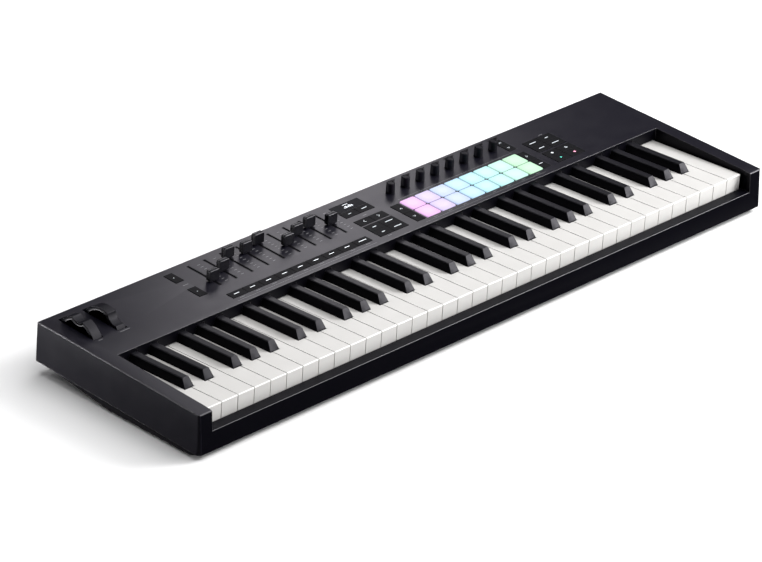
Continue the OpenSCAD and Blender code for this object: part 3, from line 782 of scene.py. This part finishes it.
def add_button(name, bm, node):
    low, high = extent(bm)
    weigh_edges(bm, lambda e: 1 if min(p.z for p in ends(e)) > high.z - 3 * MM else 0)
    place(name, bm, node, MATERIALS["button"], "button", node, 0.25 * MM, 3)
    return low, high


def add_buttons():
    for node, legends in LEGENDS.items():
        for k, (bm, legend) in enumerate(zip(solids(node), legends)):
            low, high = add_button(f"{node}_{k + 1}", bm, node)
            kind, *sizes = legend
            sizes = [s * MM for s in sizes] + [0]
            mark = bmesh.new()
            draw_legend(mark, kind, (low.x + high.x) / 2, (low.y + high.y) / 2, high.z,
                        sizes[0], sizes[1])
            glow = MATERIALS[COLOURED.get((node, k), "glow_white")]
            place(f"{node}_{k + 1}_legend", mark, node, glow, "light")

    node = "fader_buttons"
    for k, bm in enumerate(solids(node)):
        low, high = add_button(f"{node}_{k + 1}", bm, node)
        cap_low, cap_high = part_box(f"fader_cap_{k + 1}")
        length = (11.5 if k == 8 else 7.4) * MM
        mark = bmesh.new()
        bar(mark, (cap_low.x + cap_high.x) / 2, (low.y + high.y) / 2 + 0.5 * MM, high.z, length,
            0.75 * MM)
        place(f"{node}_{k + 1}_legend", mark, node, MATERIALS["glow_bright"], "light")


def add_panel_print():
    """Thin pale marks on the panel: fader scales, group lines and blank label bars."""
    marks = bmesh.new()
    for k in range(9):
        low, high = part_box(f"fader_cap_{k + 1}")
        for step in range(9):
            bar(marks, (low.x + high.x) / 2 + 11.7 * MM, (240.2 - 5.6 * step) * MM, 0, 4 * MM,
                0.7 * MM)
    # x and y of the middle, length, width, in mm
    for x, y, length, width in (
        (-383.4, 183, 14.2, 0.7), (-417.5, 183.4, 6, 0.7),
        (-266, 215.8, 8, 0.8), (1, 209, 6, 0.7), (303.6, 222.4, 6, 0.7), (-10, 156.8, 5.5, 0.7),
        (-140, 153.5, 212, 0.35), (142, 153.2, 196, 0.35), (150, 211.3, 187, 0.35),
        (152.7, 211.3, 6, 0.9),
    ):
        bar(marks, x * MM, y * MM, 0, length * MM, width * MM)
    for k in range(9):
        bar(marks, (-236 + 24 * k) * MM, 157.2 * MM, 0, 7 * MM, 0.6 * MM)
    for k in range(8):
        bar(marks, (61.8 + 24 * k) * MM, 156 * MM, 0, 6 * MM, 0.6 * MM)
    place("panel_print", marks, ROOT, MATERIALS["ink"], "print")


def add_slot_shade_bands():
    """A dark band round each fader's slot: painted shade that makes the slot look wider and darker.
    """
    rims = bmesh.new()
    rim = 0.9 * MM
    for k in range(9):
        low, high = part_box(f"fader_cap_{k + 1}")
        x = (low.x + high.x) / 2

        def outline(inset, level):
            grow = rim - inset
            half_x, half_y = FADER_SLOT_HALF_WIDTH + grow, FADER_SLOT_HALF_LENGTH + grow
            return rounded_rectangle((x - half_x, FADER_MIDDLE - half_y),
                                     (x + half_x, FADER_MIDDLE + half_y),
                                     0.1 * MM + grow, level, 3)

        band(rims, 0, rim, outline)
    place("fader_slot_painted_shade", rims, ROOT, MATERIALS["painted_shade"], "case")


def add_display():
    """The glass, with an abstract level graph behind it."""
    (bm,) = solids("display_window")
    low, high = extent(bm)
    weigh_edges(bm, lambda e: 1 if min(p.z for p in ends(e)) > high.z - 0.05 * MM else 0)
    place("display_glass", bm, ROOT, MATERIALS["glass"], "display", "display_window", 0.08 * MM)
    graph = bmesh.new()
    middle = (low.y + high.y) / 2
    heights = (2.4, 4.2, 3.0, 4.6, 3.4)
    for k, height in enumerate(heights):
        x = (low.x + high.x) / 2 + (k - 2) * 2.9 * MM
        bar(graph, x, middle - (3 - height / 2) * MM, high.z, 1.1 * MM, height * MM)
    bar(graph, (low.x + high.x) / 2, middle + 4.4 * MM, high.z, 8 * MM, 0.6 * MM)
    place("display_graph", graph, ROOT, MATERIALS["glow_bright"], "light")


# ---- Pieces kept from the CAD ----

KEPT = {
    "key_frame": "chassis", "key_contact_board": "board", "main_board": "board",
    "panel_board": "board", "display_module": "module", "rubber_feet": "foot",
    "case_screws": "screw", "usb_socket": "metal", "pedal_jacks": "socket",
    "midi_socket": "socket", "fader_bodies": "metal", "encoder_bodies": "metal",
    "wheel_housing": "chassis",
}


def dress_kept_nodes():
    for node, finish in KEPT.items():
        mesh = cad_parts[node].data
        mesh.materials.clear()
        mesh.materials.append(MATERIALS[finish])


MATERIALS = {
    "case": moulded("case_plastic", (0.0026, 0.0023, 0.0062), 0.37, 0.55, 0.03, 0.48, 0.6),
    # A darker, less shiny copy of the case plastic: painted shade for the key well, front faces and
    # fader slots.
    "painted_shade": moulded("painted_shade_plastic", (0.0016, 0.0015, 0.0032), 0.42, 0.7, 0.04, 0.09, 0.1),
    # A lighter, glossier copy of the case plastic for rounded edges and rims: a painted highlight.
    "painted_edge_highlight": moulded("painted_edge_highlight_plastic", (0.028, 0.028, 0.03), 0.34, 0.5, 0.01, 0.6, 0.3),
    "base": moulded("base_plastic", (0.0016, 0.0015, 0.0028), 0.6, 0.7, 0.04, 0.08, 0.1),
    "white_key": key_plastic("white_key_plastic", (0.575, 0.565, 0.55), 0.45, 0.3),
    # A brighter, glossier copy of the white key plastic for key edges: a painted highlight.
    "white_key_painted_highlight": key_plastic("white_key_painted_highlight", (0.8, 0.79, 0.775), 0.25, 0.5),
    "black_key": moulded("black_key_plastic", (0.0023, 0.0022, 0.0045), 0.42, 0.5, 0.02, 0.27, 0.3),
    # A darker, duller copy of the black key plastic for the key sides: painted shade.
    "key_side_painted_shade": moulded("black_key_side_painted_shade", (0.0016, 0.0015, 0.0028), 0.5, 0.5, 0.03, 0.03, 0.1),
    "control": moulded("control_rubber", (0.0023, 0.0022, 0.0045), 0.45, 0.35, 0.02, 0.14, 0.4),
    "wheel": moulded("wheel_rubber", (0.0023, 0.0022, 0.0045), 0.46, 0.4, 0.02, 0.17, 0.2),
    "button": moulded("button_silicone", (0.003, 0.003, 0.004), 0.55, 0.3, 0.015, 0.07, 0.15),
    "pad_sheet": moulded("pad_sheet_silicone", (0.05, 0.05, 0.06), 0.5, 0.4, 0.02),
    "chassis": moulded("chassis_plastic", (0.03, 0.03, 0.032), 0.55, 0.8, 0.04),
    "foot": moulded("foot_rubber", (0.012, 0.012, 0.012), 0.75, 0.6, 0.05, 0.25, 0.15),
    "socket": moulded("socket_plastic", (0.012, 0.012, 0.013), 0.4, 0.5, 0.02),
    "module": moulded("module_plastic", (0.02, 0.02, 0.025), 0.4, 0.5, 0.02),
    "glass": dark_glass("display_glass"),
    "board": circuit_board("circuit_board"),
    "metal": brushed_metal("plated_steel", (0.6, 0.6, 0.6), 0.32),
    "screw": brushed_metal("black_screw_steel", (0.08, 0.08, 0.085), 0.38),
    "ink": lamp_print("panel_ink", (0.2, 0.2, 0.21), 0.0),
    "glow_white": lamp_print("legend_white", (0.58, 0.62, 0.66), 0.7),
    "glow_bright": lamp_print("legend_bright", (0.9, 0.93, 0.98), 0.9),
    "glow_green": lamp_print("legend_green", (0.12, 0.75, 0.6), 0.8),
    "glow_pink": lamp_print("legend_pink", (0.95, 0.35, 0.5), 0.9),
}

add_camera()
add_world()
add_stage()
add_sky_light("sky", (0.36, -0.26, 1), math.radians(74), 3.0)
add_softbox("key_light", (1.5, -1.05, 1.4), (0.1, 0, 0), (0.8, 0.8), 36)
add_softbox("slope_light", (1.5, -1.45, 0.55), (0, 0, 0.05), (0.9, 0.4), 26)
add_softbox("highlight", (0.63, 0.76, 0.62), (0.05, 0.03, 0.06), (0.38, 0.34), 1.5,
            (1, 0.975, 1))
add_softbox("side_fill", (-0.82, 0.66, 0.02), (-0.444, 0.1, 0.03), (0.3, 0.05), 7)
add_softbox("edge_light", (-1.3, 1.4, 1.6), (-0.2, 0, 0.05), (0.35, 0.35), 5)
add_case()
add_keys()
add_wheels()
add_fader_caps()
add_knobs()
add_pads()
add_buttons()
add_panel_print()
add_slot_shade_bands()
add_display()
dress_kept_nodes()
bpy.context.scene.view_settings.view_transform = "Standard"

bpy.context.view_layer.update()
